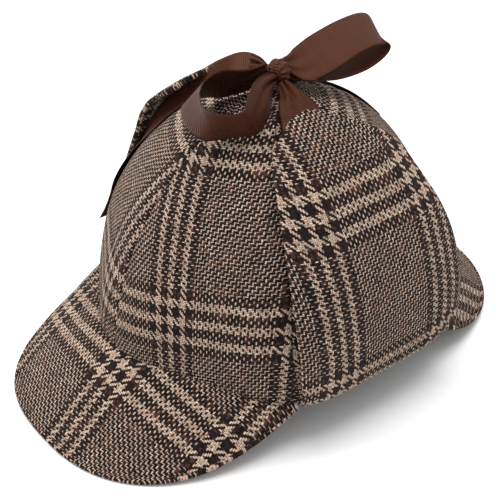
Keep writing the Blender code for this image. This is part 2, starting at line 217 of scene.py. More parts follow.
# Rows up each ear flap. The far one lies closer to the crown at its front edge and stands
# off it more at its top. Columns: share of its height, spread as a share of the half spread,
# then the gap to the crown at its front edge, middle and back edge as shares of the lift.
FLAP_ROWS = {
    "ear_flap_left": (
        (0.00, 1.00, 0.00, 0.00, 0.00),
        (0.05, 1.01, 0.45, 0.45, 0.45),
        (0.15, 1.03, 0.80, 0.80, 0.90),
        (0.30, 1.07, 1.00, 1.05, 1.25),
        (0.45, 1.11, 1.00, 1.15, 1.40),
        (0.60, 1.15, 0.90, 1.15, 1.30),
        (0.72, 1.19, 0.85, 1.10, 1.10),
        (0.82, 1.23, 0.90, 1.05, 1.00),
        (0.91, 1.28, 0.95, 1.00, 1.00),
        (1.00, 1.27, 1.00, 1.00, 1.00),
    ),
    "ear_flap_right": (
        (0.00, 1.00, 0.00, 0.00, 0.00),
        (0.05, 1.00, 0.20, 0.45, 0.45),
        (0.15, 0.97, 0.30, 0.80, 0.90),
        (0.30, 0.94, 0.30, 1.05, 1.25),
        (0.45, 0.91, 0.38, 1.15, 1.40),
        (0.60, 0.93, 0.78, 1.15, 1.30),
        (0.72, 1.01, 1.25, 1.15, 1.10),
        (0.82, 1.11, 1.45, 1.20, 1.00),
        (0.91, 1.22, 1.50, 1.30, 1.00),
        (1.00, 1.27, 1.45, 1.35, 1.00),
    ),
}

# Points along a flap's top edge. Columns: place from front edge (-1) to back edge (1), climb.
FLAP_TOP = (
    (-1.00, 61.0),
    (-0.80, 66.0),
    (-0.55, 69.3),
    (-0.10, 70.4),
    (0.20, 69.2),
    (0.45, 65.6),
    (0.70, 61.5),
    (0.88, 57.0),
    (1.00, 52.0),
)

# The gap to the crown where each tie is seated, under the tip of its flap.
TIE_SEAT = FLAP_LIFT - RIBBON_SEAT / 2

# Rows along each tie, which follows the crown. Columns: turn, climb, gap to the crown as a
# share of the gap where the ribbon is seated, width as a share of the ribbon, and how far
# its width bends with the crown, from 0 (flat) to 1 (as round as the crown).
TIES = {
    "tie_left": (
        (91.0, 82.9, 1.35, 0.30, 0.0),
        (90.0, 78.5, 1.12, 0.50, 0.3),
        (86.0, 74.5, 0.99, 0.75, 0.9),
        (83.0, 70.5, 0.94, 0.95, 1.0),
        (80.0, 66.5, 0.94, 1.00, 1.0),
        (80.0, 62.0, 0.94, 1.00, 1.0),
    ),
    "tie_right": (
        (-104.0, 87.6, 1.25, 0.30, 0.0),
        (-98.0, 81.0, 1.10, 0.60, 0.2),
        (-96.0, 75.0, 0.98, 0.90, 0.9),
        (-95.0, 69.5, 0.95, 1.00, 1.0),
        (-95.0, 64.0, 0.95, 1.00, 1.0),
    ),
}

# The bow's tails, which run from the knot down over the crown, one between the crown and
# the far flap and one down the back. Each row gives the near edge of the ribbon and then
# its far edge, each by turn, climb and gap to the crown in millimetres.
TAILS = {
    "bow_tail_front": (
        (-70.0, 88.0, 10.0, -110.0, 87.6, 12.0),
        (-68.0, 84.5, 8.8, -100.0, 82.0, 14.6),
        (-65.0, 80.0, 7.0, -90.0, 75.5, 16.2),
        (-60.0, 74.5, 4.5, -72.0, 72.8, 15.6),
        (-58.5, 67.5, 2.4, -71.0, 66.3, 13.0),
        (-59.5, 59.5, 0.8, -71.0, 56.4, 10.8),
        (-60.0, 53.0, 0.5, -71.0, 48.4, 10.8),
        (-59.0, 48.0, 0.4, -71.0, 40.6, 9.9),
        (-58.0, 42.5, 0.8, -71.5, 33.5, 7.6),
        (-56.5, 37.5, 2.0, -71.5, 31.5, 5.4),
        (-54.0, 31.5, 3.0, -70.0, 29.0, 4.0),
        (-53.0, 27.5, 3.0, -68.5, 24.5, 3.0),
        (-52.5, 23.5, 2.2, -67.5, 20.0, 2.2),
        (-52.0, 19.5, 2.6, -66.5, 16.0, 1.6),
        (-51.5, 15.8, 4.2, -66.0, 12.0, 1.2),
    ),
    "bow_tail_back": (
        (155.0, 87.2, 8.0, 245.0, 87.4, 6.5),
        (186.0, 80.5, 3.6, 262.0, 78.5, 2.6),
        (190.0, 73.0, 1.8, 246.0, 73.0, 1.2),
        (190.0, 65.5, 1.4, 228.0, 65.5, 1.0),
        (184.5, 59.5, 1.6, 215.5, 59.5, 1.0),
        (181.0, 53.5, 1.6, 206.5, 53.5, 1.0),
        (177.5, 46.5, 1.2, 199.0, 46.5, 1.0),
        (176.0, 43.0, 1.0, 197.0, 43.0, 1.0),
    ),
}

# Rows round the back loop, as shares of its length from the knot. Columns: back, left, up,
# width as a share of the ribbon, and the direction of the width (back, left, up).
BACK_LOOP_DIRECTIONS = ((0, 1, 0), (1, 0, 0), (0, 0, 1))
BACK_LOOP_ROWS = (
    (0.060, 0.00, 0.025, 0.42, (-0.20, 0.90, -0.40)),
    (0.22, 0.02, -0.015, 0.84, (-0.18, 0.86, -0.52)),
    (0.42, 0.04, 0.040, 1.00, (-0.20, 0.90, -0.48)),
    (0.68, 0.04, 0.100, 1.00, (-0.26, 0.92, -0.38)),
    (0.91, 0.04, 0.112, 1.00, (-0.34, 0.91, -0.32)),
    (1.03, 0.04, 0.068, 1.00, (-0.36, 0.90, -0.30)),
    (1.03, 0.04, -0.005, 1.00, (-0.32, 0.92, -0.24)),
    (0.92, 0.04, -0.070, 1.00, (-0.16, 0.97, -0.18)),
    (0.74, 0.04, -0.110, 1.00, (-0.18, 0.96, -0.16)),
    (0.48, 0.03, -0.105, 1.00, (-0.20, 0.95, -0.14)),
    (0.26, 0.02, -0.060, 0.86, (-0.20, 0.95, -0.16)),
    (0.060, 0.00, -0.030, 0.50, (-0.20, 0.95, -0.18)),
)

# The front loop lies in a plane tilted to face up and forward. Its rows are shares of its
# length. Columns: across, along and out of that plane, width as a share of the ribbon,
# and the direction of the width in the same three directions.
FRONT_LOOP_DIRECTIONS = (
    (0.626, 0.780, 0.0),
    (-0.678, 0.544, 0.490),
    (0.356, -0.339, 0.869),
)
FRONT_LOOP_ROWS = (
    (-0.187, 0.017, 0.034, 0.45, (0.0, 0.10, 1.0)),
    (-0.46, -0.17, 0.03, 0.78, (0.0, 0.0, 1.0)),
    (-0.80, -0.24, 0.02, 1.00, (0.0, 0.0, 1.0)),
    (-1.09, -0.33, 0.02, 1.00, (0.15, -0.19, 0.97)),
    (-1.24, -0.47, 0.07, 1.00, (0.49, -0.06, 0.89)),
    (-1.23, -0.69, 0.09, 1.00, (0.44, 0.02, 0.91)),
    (-1.10, -0.92, 0.15, 1.00, (0.29, 0.09, 0.97)),
    (-0.91, -1.04, 0.22, 1.00, (0.13, -0.02, 0.99)),
    (-0.70, -1.09, 0.27, 1.00, (-0.03, -0.06, 0.99)),
    (-0.41, -1.08, 0.34, 1.00, (-0.30, -0.10, 0.95)),
    (-0.27, -0.78, 0.35, 0.85, (-0.47, -0.16, 0.88)),
    (-0.19, -0.44, 0.24, 0.55, (-0.45, -0.15, 0.88)),
    (-0.066, -0.172, 0.057, 0.35, (-0.30, -0.10, 0.95)),
)

# Columns: node, rows, length, directions.
LOOPS = (
    ("bow_loop_back", BACK_LOOP_ROWS, BACK_LOOP_LENGTH, BACK_LOOP_DIRECTIONS),
    ("bow_loop_front", FRONT_LOOP_ROWS, FRONT_LOOP_LENGTH, FRONT_LOOP_DIRECTIONS),
)

# Camera and studio
CAMERA_TURN = 51.63
CAMERA_HEIGHT_ANGLE = 35.64
CAMERA_DISTANCE = 0.67433
CAMERA_AIM = (-0.01895, 0.0068, 0.03989)
CAMERA_LENS = 86.49
SENSOR_WIDTH = 36.0
NEAREST_SEEN = 0.01
FLOOR_SIZE = 12.0
FLOOR_FINISH = {
    "Base Color": (0.86, 0.86, 0.86, 1),
    "Roughness": 0.9,
}
SKY_BRIGHTNESS = 0.8
LAMP_AIM = (0, 0, 0.07)

# Columns: name, place, size, power.
LAMPS = (
    ("key", (0.05, 0.10, 1.5), 0.9, 17.5),
    ("fill", (-1.1, -1.0, 1.1), 1.0, 17.0),
)

# Mesh steps
GORE_COLUMNS = 36
GORE_ROWS = 72
BRIM_COLUMNS = 120
BRIM_ROWS = 30
FLAP_COLUMNS = 56
FLAP_STEPS = 64
RIBBON_STEPS = 10
RIBBON_COLUMNS = 16
KNOT_SEGMENTS = 64
KNOT_RINGS = 40
TABLE_STEPS = 8
CLOTH_STEPS_ACROSS = 13
CLOTH_STEPS_UP = 25


def crown_point(turn, climb, out=0.0):
    """Points on the crown's outer surface, or a distance outside it."""
    angle = np.radians(turn)
    lift = np.radians(np.maximum(climb, 0.0))
    foot = SIDE_SEAM_HEIGHT - HEM
    height = np.sin(lift) ** (2 / SIDE_FULLNESS)
    narrowing = np.cos(lift) ** (2 / TOP_FULLNESS)
    ridge = 1 + GORE_RIDGE_SHARE * np.cos(GORE_COUNT * angle)
    x = (CROWN_HALF_WIDTH + out) * ridge * np.sin(angle) * narrowing
    y = -(CROWN_HALF_LENGTH + out) * ridge * np.cos(angle) * narrowing + CROWN_LEAN * height ** 2
    z = foot + (CROWN_TOP + out - foot) * height
    return np.stack(np.broadcast_arrays(x, y, z), -1) + SHIFT


def climb_at_height(z):
    """The climb at which the crown's outer surface reaches a height."""
    foot = SIDE_SEAM_HEIGHT - HEM
    share = np.clip((z - foot) / (CROWN_TOP - foot), 0.0, 1.0)
    return np.degrees(np.arcsin(share ** (SIDE_FULLNESS / 2)))


def seam_height(turn):
    """The height at which a brim meets the crown. It drops to the sides."""
    from_end = np.abs((turn + 90) % 180 - 90)
    share = np.minimum(from_end / BRIM_CORNER_TURN, 1.0)
    return SIDE_SEAM_HEIGHT + (END_SEAM_HEIGHT - SIDE_SEAM_HEIGHT) * (1 - share ** 2)


def smooth(rows, steps):
    """A smooth curve through rows of numbers, with a few steps between each two."""
    rows = np.array(rows, float)
    padded = np.vstack((2 * rows[0] - rows[1], rows, 2 * rows[-1] - rows[-2]))
    points = []
    for i in range(1, len(padded) - 2):
        before, start, end, after = padded[i - 1:i + 3]
        for step in range(steps):
            t = step / steps
            points.append(0.5 * (2 * start + (end - before) * t
                                 + (2 * before - 5 * start + 4 * end - after) * t ** 2
                                 + (3 * start - before - 3 * end + after) * t ** 3))
    points.append(rows[-1])
    return np.array(points)


def along(table, place):
    """A table's columns at a place in its first column, on a smooth curve through its rows."""
    fine = smooth(table, TABLE_STEPS)
    return [np.interp(place, fine[:, 0], fine[:, k]) for k in range(1, fine.shape[1])]


def spread_steps(count):
    """Shares from 0 to 1 that lie closer together at both ends."""
    return 0.5 - 0.5 * np.cos(np.pi * np.arange(count + 1) / count)


def run_length(points):
    """The distance along a line of points, from its first."""
    steps = np.linalg.norm(np.diff(points, axis=0), axis=1)
    return np.concatenate(((0.0,), np.cumsum(steps)))


def line_length(points):
    """The length of lines of points that run along the first axis."""
    return np.linalg.norm(np.diff(points, axis=0), axis=-1).sum(0)


def crown_cloth(turn, climb, middle_turn, out=0.0):
    """Where points on the crown lie on the flat cloth: across and along the grain."""
    sideways = np.linspace(middle_turn + 0 * turn, turn, CLOTH_STEPS_ACROSS)
    upward = np.linspace(0 * climb, climb, CLOTH_STEPS_UP)
    across = line_length(crown_point(sideways, climb, out))
    return np.sign(turn - middle_turn) * across, line_length(crown_point(middle_turn, upward, out))


def thread_place(name, across, up):
    """Places on the flat cloth, counted in threads of the warp and of the weft."""
    stretch_across, stretch_along, slant, *eases_and_bends, warp_start, weft_start = CUTS[name]
    warp_ease, weft_ease, bend_across, bend_along = eases_and_bends
    warp = across * stretch_across + up * slant + bend_across * across ** 2
    weft = up * stretch_along - across * slant + bend_along * across ** 2
    warp = warp / WARP_PITCH * (1 + warp_ease * up) + warp_start
    weft = weft / WEFT_PITCH * (1 + weft_ease * up) + weft_start
    return np.stack((warp, weft), -1)


def grid_normals(grid):
    """The direction out of a grid of points, at each point."""
    rows = np.gradient(grid, axis=0)
    columns = np.gradient(grid, axis=1)
    normals = np.cross(columns, rows)
    return normals / np.maximum(np.linalg.norm(normals, axis=2, keepdims=True), 1e-12)


def edge_distance(grid):
    """How far each point of a grid lies from the grid's nearest border."""
    distances = []
    for axis in (0, 1):
        steps = np.linalg.norm(np.diff(grid, axis=axis), axis=2)
        lengths = np.cumsum(steps, axis=axis)
        start = np.zeros_like(np.take(lengths, (0,), axis=axis))
        run = np.concatenate((start, lengths), axis=axis)
        distances += [run, np.take(run, (-1,), axis=axis) - run]
    return np.minimum.reduce(distances)


def declare(piece, node):
    """Says what body a piece rides on, and hides the solid it stands for."""
    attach(piece, "root")
    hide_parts(node)


def finished_piece(name, mesh, material, node):
    """A piece of the hat from its finished mesh."""
    mesh.materials.append(material)
    mesh.shade_smooth()
    piece = bpy.data.objects.new(name, mesh)
    bpy.context.scene.collection.objects.link(piece)
    declare(piece, node)
    return piece


def cloth_mesh(name, middle, wall, rounding, places):
    """A closed sheet of cloth round a grid of points, with rounded edges.

    The places give each point's place on the flat cloth, for the weave.
    """
    depth = np.clip(edge_distance(middle) / rounding, 0, 1)
    half = grid_normals(middle) * (wall / 2 * np.sqrt(1 - (1 - depth) ** 2))[..., None]
    rows, columns = middle.shape[:2]
    outer = np.arange(rows * columns).reshape(rows, columns)
    inner = outer.copy()
    inner[1:-1, 1:-1] = rows * columns + np.arange((rows - 2) * (columns - 2)).reshape(rows - 2, -1)
    inside = (middle - half)[1:-1, 1:-1]
    points = np.concatenate(((middle + half).reshape(-1, 3), inside.reshape(-1, 3)))
    spots = np.concatenate((places.reshape(-1, 2), places[1:-1, 1:-1].reshape(-1, 2)))
    quads = []
    for index in (outer, inner):
        corners = [index[:-1, :-1], index[:-1, 1:], index[1:, 1:], index[1:, :-1]]
        quads.append(np.stack(corners if index is outer else corners[::-1], -1).reshape(-1, 4))
    quads = np.concatenate(quads)
    mesh = bpy.data.meshes.new(name)
    mesh.from_pydata(points.tolist(), [], quads.tolist())
    mesh.uv_layers.new(name="cloth").data.foreach_set("uv", spots[quads.ravel()].ravel())
    return mesh


def unevenness(grid, height, size, seed):
    """Moves a grid in and out a little, as soft cloth is never quite even."""
    start = Vector((seed, 0, 0))
    swells = [[[noise.noise(Vector(point) / size + start)] for point in line] for line in grid]
    return grid + grid_normals(grid) * (height * np.array(swells))


def crown_gore(index, material):
    """One gore of the crown, with its edges turned in to the seams beside it."""
    name = f"crown_gore_{index + 1}"
    width = 360 / GORE_COUNT
    start = index * width
    top = math.degrees(math.acos((TOP_OPENING / CROWN_HALF_WIDTH) ** (TOP_FULLNESS / 2)))
    rise, share = np.meshgrid(spread_steps(GORE_ROWS), spread_steps(GORE_COLUMNS), indexing="ij")
    turn = start + width * share
    edge = climb_at_height(seam_height(turn) - SEAM_ALLOWANCE)
    climb = edge + (top - edge) * rise
    places = thread_place(name, *crown_cloth(turn, climb, start + width / 2))
    grid = unevenness(crown_point(turn, climb, -CROWN_WALL / 2), *GORE_UNEVENNESS)
    mesh = cloth_mesh(name, grid, CROWN_WALL, SEAM_ROUND, places)
    finished_piece(name, mesh, material, f"crown_panel_{index + 1}")


def brim_edge(share, facing, reach, fullness):
    """A point on a brim's outer edge. The share runs from corner (-1) to corner (1)."""
    corner = crown_point(BRIM_CORNER_TURN, 0) - SHIFT
    tip = CROWN_HALF_LENGTH * (1 + GORE_RIDGE_SHARE) + reach
    sweep = math.radians(90 * (1 - abs(share)))
    x = math.copysign(corner[0], share) * math.cos(sweep) ** (2 / fullness)
    forward = abs(corner[1]) + (tip - abs(corner[1])) * math.sin(sweep) ** (2 / fullness)
    lift = (1 - math.sin(sweep)) ** BRIM_CORNER_LIFT
    drop = max(lift - BRIM_FLAT_SHARE, 0) / (1 - BRIM_FLAT_SHARE)
    return np.array((x, facing * forward, (SIDE_SEAM_HEIGHT - BRIM_WALL) * drop)) + SHIFT


def brim_line(share, facing, reach, fullness):
    """The middle of a brim's wall, from the crown out to its edge."""
    turn = share * BRIM_CORNER_TURN
    if facing > 0:
        turn = 180 - turn
    seam = seam_height(turn)
    edge = brim_edge(share, facing, reach, fullness)
    seat = crown_point(turn, climb_at_height(seam - BRIM_WALL / 2), -CROWN_WALL / 2)
    width = np.linalg.norm(edge[:2] - seat[:2])
    foot = 1 - min(BRIM_FOOT / width, BRIM_FOOT_SHARE)
    edge[2] += BRIM_WALL / 2
    line = []
    for place in spread_steps(BRIM_ROWS):
        down = min(place / foot, 1.0)
        point = seat + (edge - seat) * place
        point[2] = seat[2] - (seat[2] - edge[2]) * down + BRIM_BULGE * math.sin(math.pi * down)
        point[2] -= SEAM_CREASE * max(1 - place * width / SEAM_CREASE_WIDTH, 0)
        line.append(point)
    return line


def brim(node, facing, reach, fullness, material):
    """A stiff brim: it meets the crown, slopes down and rests on its outer edge."""
    name = node + "_cloth"
    shares = BRIM_END_SHARE * np.sin(np.linspace(-np.pi / 2, np.pi / 2, BRIM_COLUMNS + 1))
    grid = np.array([brim_line(share, facing, reach, fullness) for share in shares])
    grid = grid.transpose(1, 0, 2)[::facing]
    places = thread_place(node, grid[..., 0], -facing * grid[..., 1])
    mesh = cloth_mesh(name, grid, BRIM_WALL, BRIM_WALL / 2, places)
    finished_piece(name, mesh, material, node)


def flap_place(node, place, share):
    """The turn, climb and gap to the crown at places across a flap and shares of its height."""
    spread, front, middle, back = along(FLAP_ROWS[node], share)
    ahead, behind = np.maximum(-place, 0.0), np.maximum(place, 0.0)
    lift = middle + (front - middle) * ahead ** 2 + (back - middle) * behind ** 2
    turn = FLAP_TURN + place * spread * FLAP_HALF_SPREAD
    root = climb_at_height(SIDE_SEAM_HEIGHT - HEM + FLAP_ROOT)
    climb = root + (along(FLAP_TOP, place)[0] - root) * share
    return turn, climb, CLEARANCE + FLAP_LIFT * lift + FLAP_WALL / 2


def ear_flap(node, side, material):
    """A flap folded up at the crown's lower edge, standing a little off the crown."""
    name = node + "_cloth"
    across = side * (2 * spread_steps(FLAP_COLUMNS) - 1)
    share, place = np.meshgrid(spread_steps(FLAP_STEPS), across, indexing="ij")
    turn, climb, gap = flap_place(node, place, share)
    places = thread_place(node, *crown_cloth(turn, climb, FLAP_TURN, gap + FLAP_WALL / 2))
    grid = unevenness(crown_point(side * turn, climb, gap), *FLAP_UNEVENNESS)
    mesh = cloth_mesh(name, grid, FLAP_WALL, FLAP_WALL / 2, places)
    finished_piece(name, mesh, material, node)


def run_at(centres, i):
    """The direction of a middle line at one of its points."""
    run = centres[min(i + 1, len(centres) - 1)] - centres[max(i - 1, 0)]
    return run / np.linalg.norm(run)


def ribbon(node, lines, widths, material):
    """A woven ribbon through lines of points, pleated where it is drawn in to the knot."""
    grid = np.array(lines)
    across = np.linspace(-0.5, 0.5, grid.shape[1])
    normals = grid_normals(grid)
    waves = np.cos(2 * np.pi * PLEAT_WAVES * across)
    depth = PLEAT_DEPTH * np.clip(1 - np.array(widths), 0, 1)
    grid = grid + normals * (depth[:, None] * waves[None, :])[..., None]
    length = run_length(grid[:, grid.shape[1] // 2])
    far, place = np.meshgrid(length, across * RIBBON_WIDTH, indexing="ij")
    name = node + "_ribbon"
    mesh = cloth_mesh(name, grid, RIBBON_WALL, RIBBON_WALL / 2, np.stack((place, far), -1))
    piece = finished_piece(name, mesh, material, node)


def crown_ribbon(node, material):
    """A ribbon laid over the crown at a gap to it, with its width along the surface."""
    rows = smooth(TIES[node], RIBBON_STEPS)
    centres = [crown_point(turn, climb, TIE_SEAT * share) for turn, climb, share in rows[:, :3]]
    lines = []
    for i, (turn, climb, share, width, bend) in enumerate(rows):
        round_crown = (crown_point(turn + 1, climb) - crown_point(turn - 1, climb)) / 2
        up_crown = crown_point(turn, climb + 0.5) - crown_point(turn, climb - 0.5)
        level = np.cross(run_at(centres, i), np.cross(up_crown, round_crown))
        level = level / np.linalg.norm(level)
        line = []
        for place in np.linspace(-1, 1, RIBBON_COLUMNS + 1):
            aside = level * place * width * RIBBON_WIDTH / 2
            flat = centres[i] + aside
            turned = turn + aside @ round_crown / (round_crown @ round_crown)
            climbed = climb + aside @ up_crown / (up_crown @ up_crown)
            draped = crown_point(turned, climbed, TIE_SEAT * share)
            line.append(flat + (draped - flat) * min(max(bend, 0.0), 1.0))
        lines.append(line)
    ribbon(node, lines, rows[:, 3], material)


def tail_ribbon(node, material):
    """A tail of the bow between its two edges, which both run down the crown."""
    rows = smooth(TAILS[node], RIBBON_STEPS)
    near = crown_point(rows[:, 0], rows[:, 1], rows[:, 2] / 1000)
    far = crown_point(rows[:, 3], rows[:, 4], rows[:, 5] / 1000)
    shares = np.linspace(1, 0, RIBBON_COLUMNS + 1)[None, :, None]
    grid = near[:, None] + (far - near)[:, None] * shares
    widths = np.linalg.norm(far - near, axis=1) / RIBBON_WIDTH
    near_knot = np.arange(len(rows)) < PLEATED_TAIL_ROWS * RIBBON_STEPS
    ribbon(node, grid, np.where(near_knot, widths, 1.0), material)


def knot_centre():
    """The middle of the bow's knot, held above the crown by the two ties."""
    return np.array((KNOT_SIDE, CROWN_LEAN + KNOT_BACK, CROWN_TOP + KNOT_RISE)) + SHIFT


def loop_ribbon(node, rows, length, directions, material):
    """A loop of the bow, from rows of shares of its length in three directions."""
    directions = np.array(directions)
    rows = smooth([row[:4] + row[4] for row in rows], RIBBON_STEPS)
    centres = knot_centre() + length * rows[:, :3] @ directions
    levels = rows[:, 4:] @ directions
    lines = []
    for i, centre in enumerate(centres):
        run = run_at(centres, i)
        level = levels[i] - run * (levels[i] @ run)
        half = level / np.linalg.norm(level) * rows[i, 3] * RIBBON_WIDTH / 2
        lines.append([centre + half * place for place in np.linspace(-1, 1, RIBBON_COLUMNS + 1)])
    ribbon(node, lines, rows[:, 3], material)


def bow_knot(material):
    """The knot: the ribbon wound once round itself, in slanting pleats."""
    bpy.ops.object.select_all(action="DESELECT")
    bpy.ops.mesh.primitive_uv_sphere_add(segments=KNOT_SEGMENTS, ring_count=KNOT_RINGS, radius=1.0)
    knot = bpy.context.object
    knot.name = "bow_knot_ribbon"
    mesh = knot.data
    mesh.name = knot.name
    layer = mesh.uv_layers.new(name="cloth")
    mesh.uv_layers.active = layer
    centre = knot_centre()
    half = np.array(KNOT_SIZE) / 2
    for vert in mesh.vertices:
        x, y, z = vert.co
        ahead = x * KNOT_WRAP[0] + y * KNOT_WRAP[1]
        aside = y * KNOT_WRAP[0] - x * KNOT_WRAP[1]
        fold = math.sin(KNOT_PLEATS * math.atan2(z, ahead) + KNOT_TWIST * aside)
        size = 1.0 + KNOT_PLEAT_SHARE * fold
        vert.co = centre + np.array((x, y, z)) * half * size
    for loop in mesh.loops:
        point = mesh.vertices[loop.vertex_index].co
        layer.data[loop.index].uv = (point.x - centre[0], point.z)
    mesh.materials.append(material)
    mesh.shade_smooth()
    declare(knot, "bow_knot")


class Wiring:
    """Adds and joins the nodes of one material, each sum on a line of its own."""

    def __init__(self, name):
        self.material = bpy.data.materials.new(name)
        self.material.use_nodes = True
        self.tree = self.material.node_tree
        self.shader = self.tree.nodes["Principled BSDF"]

    def node(self, kind, **settings):
        """A new node, with its settings."""
        node = self.tree.nodes.new(kind)
        for key, value in settings.items():
            setattr(node, key, value)
        return node

    def join(self, value, socket):
        """Feeds a socket from another socket, or gives it a plain value."""
        if isinstance(value, bpy.types.NodeSocket):
            self.tree.links.new(value, socket)
        else:
            socket.default_value = value

    def maths(self, operation, *values):
        """One sum with numbers."""
        node = self.node("ShaderNodeMath", operation=operation)
        for value, socket in zip(values, node.inputs):
            self.join(value, socket)
        return node.outputs[0]

    def vector(self, x, y, z=0.0):
        """Three numbers as one place."""
        node = self.node("ShaderNodeCombineXYZ")
        for value, socket in zip((x, y, z), node.inputs):
            self.join(value, socket)
        return node.outputs[0]

    def blend(self, factor, start, end, kind="MIX"):
        """One colour turned into another, or multiplied by it, by a factor."""
        node = self.node("ShaderNodeMix", data_type="RGBA", blend_type=kind)
        for value, index in zip((factor, start, end), MIX_INPUTS):
            self.join(value, node.inputs[index])
        return node.outputs[MIX_RESULT]

    def cloth_place(self):
        """The two numbers of the piece's own cloth map."""
        split = self.node("ShaderNodeSeparateXYZ")
        self.join(self.node("ShaderNodeUVMap", uv_map="cloth").outputs[0], split.inputs[0])
        return split.outputs[0], split.outputs[1]

    def random(self, x, y):
        """A number from 0 to 1 that differs from thread to thread."""
        node = self.node("ShaderNodeTexWhiteNoise", noise_dimensions="2D")
        self.join(self.vector(x, y), node.inputs[0])
        return node.outputs[0]

    def cloud(self, scale, detail=SOFT_DETAIL):
        """A soft noise through the piece's own space."""
        node = self.node("ShaderNodeTexNoise")
        self.join(self.node("ShaderNodeTexCoord").outputs["Object"], node.inputs["Vector"])
        node.inputs["Scale"].default_value = scale
        node.inputs["Detail"].default_value = detail
        return node.outputs[0]

    def bump(self, height, distance):
        """Relief in the surface, from 0 to 1 times a distance."""
        node = self.node("ShaderNodeBump")
        node.inputs["Distance"].default_value = distance
        node.inputs["Strength"].default_value = 1.0
        self.join(height, node.inputs["Height"])
        self.join(node.outputs[0], self.shader.inputs["Normal"])


def set_finish(shader, finish):
    """Sets the plain values of a surface."""
    for name, value in finish.items():
        shader.inputs[name].default_value = value


def thread_kind(wiring, thread, stripes):
    """Two numbers of a thread: 1 where it is light, and 1 where it is in a group of stripes."""
    dark, light, group, repeat = stripes
    place = wiring.maths("FLOORED_MODULO", thread, repeat)
    in_group = wiring.maths("LESS_THAN", place, group - 0.5)
    in_stripes = wiring.maths("FLOORED_MODULO", place, dark + light)
    broad = wiring.maths("GREATER_THAN", in_stripes, dark - 0.5)
    from_group = wiring.maths("SUBTRACT", place, group)
    fine = wiring.maths("LESS_THAN", wiring.maths("FLOORED_MODULO", from_group, 2.0), 0.5)
    change = wiring.maths("SUBTRACT", broad, fine)
    return wiring.maths("MULTIPLY_ADD", in_group, change, fine), in_group


def choose(wiring, first, second, when):
    """The first value where the third is 1, and the second where it is 0."""
    change = wiring.maths("SUBTRACT", first, second)
    return wiring.maths("MULTIPLY_ADD", when, change, second)


def wavering(wiring, place, other, seed):
    """A place in threads that strays a little, as hand-finished cloth is never quite true."""
    spot = wiring.vector(place, other, seed)
    cloud = wiring.node("ShaderNodeTexNoise")
    wiring.join(spot, cloud.inputs["Vector"])
    cloud.inputs["Scale"].default_value = STRAY_SCALE
    cloud.inputs["Detail"].default_value = SOFT_DETAIL
    stray = wiring.maths("MULTIPLY_ADD", cloud.outputs[0], STRAY_THREADS, -STRAY_THREADS / 2)
    return wiring.maths("ADD", place, stray)


class Twill:
    """A two over two twill: the threads that cross at a place, and which lies on top."""

    def __init__(self, wiring):
        self.wiring = wiring
        flat_across, flat_along = wiring.cloth_place()
        self.across = wavering(wiring, flat_across, flat_along, 0.0)
        self.along = wavering(wiring, flat_along, flat_across, WEFT_STRAY_START)
        self.warp = wiring.maths("FLOOR", self.across)
        self.weft = wiring.maths("FLOOR", self.along)
        self.in_warp = wiring.maths("SUBTRACT", self.across, self.warp)
        self.in_weft = wiring.maths("SUBTRACT", self.along, self.weft)
        crossing = wiring.maths("ADD", self.warp, self.weft)
        self.step = wiring.maths("FLOORED_MODULO", crossing, 2 * FLOAT_THREADS)
        self.warp_on_top = wiring.maths("LESS_THAN", self.step, FLOAT_THREADS - 0.5)

    def on_top(self, of_warp, of_weft):
        """The warp's value where the warp lies on top, and elsewhere the weft's."""
        return choose(self.wiring, of_warp, of_weft, self.warp_on_top)


def yarn_kind(wiring, twill, spot):
    """Two numbers of the yarn on top: how light it is, and 1 where it is in stripes."""
    warp_light, warp_broad = thread_kind(wiring, twill.warp, WARP_STRIPES)
    weft_light, weft_broad = thread_kind(wiring, twill.weft, WEFT_STRIPES)
    light = twill.on_top(warp_light, weft_light)
    sunk = wiring.maths("MULTIPLY", wiring.maths("GREATER_THAN", spot, SUNK_CHANCE), FLECK_STRENGTH)
    light = wiring.maths("MULTIPLY", light, wiring.maths("SUBTRACT", 1.0, sunk))
    return light, twill.on_top(warp_broad, weft_broad)


def yarn_shape(wiring, twill, broad, fuzz):
    """Where the yarn on top shows between the gaps, and how high it stands."""
    share = 1 / FLOAT_THREADS
    warp_float = wiring.maths("MULTIPLY", wiring.maths("ADD", twill.step, twill.in_weft), share)
    weft_step = wiring.maths("SUBTRACT", twill.step, FLOAT_THREADS)
    weft_float = wiring.maths("MULTIPLY", wiring.maths("ADD", weft_step, twill.in_warp), share)
    along_float = twill.on_top(warp_float, weft_float)
    across_yarn = twill.on_top(twill.in_warp, twill.in_weft)
    arch = wiring.maths("SINE", wiring.maths("MULTIPLY", along_float, math.pi))
    round_yarn = wiring.maths("SINE", wiring.maths("MULTIPLY", across_yarn, math.pi))
    fine = wiring.maths("MULTIPLY_ADD", twill.warp_on_top, FINE_WARP - FINE_WEFT, FINE_WEFT)
    fullness = choose(wiring, BROAD_YARN, fine, broad)
    taper = wiring.maths("SQRT", wiring.maths("MAXIMUM", arch, 0.0))
    half = wiring.maths("MULTIPLY", taper, fullness)
    from_middle = wiring.maths("ABSOLUTE", wiring.maths("SUBTRACT", across_yarn, 0.5))
    inside = wiring.maths("SUBTRACT", half, from_middle)
    frayed = wiring.maths("MULTIPLY_ADD", fuzz, FUZZ_REACH, -FUZZ_REACH / 2)
    inside = wiring.maths("ADD", inside, frayed)
    shown = wiring.maths("MULTIPLY_ADD", inside, YARN_SHARPNESS, 0.5)
    shown = wiring.maths("MINIMUM", wiring.maths("MAXIMUM", shown, 0.0), 1.0)
    relief = wiring.maths("MULTIPLY", round_yarn, wiring.maths("MULTIPLY_ADD", arch, 0.5, 0.5))
    return shown, wiring.maths("ADD", relief, wiring.maths("MULTIPLY", fuzz, FUZZ_HEIGHT))


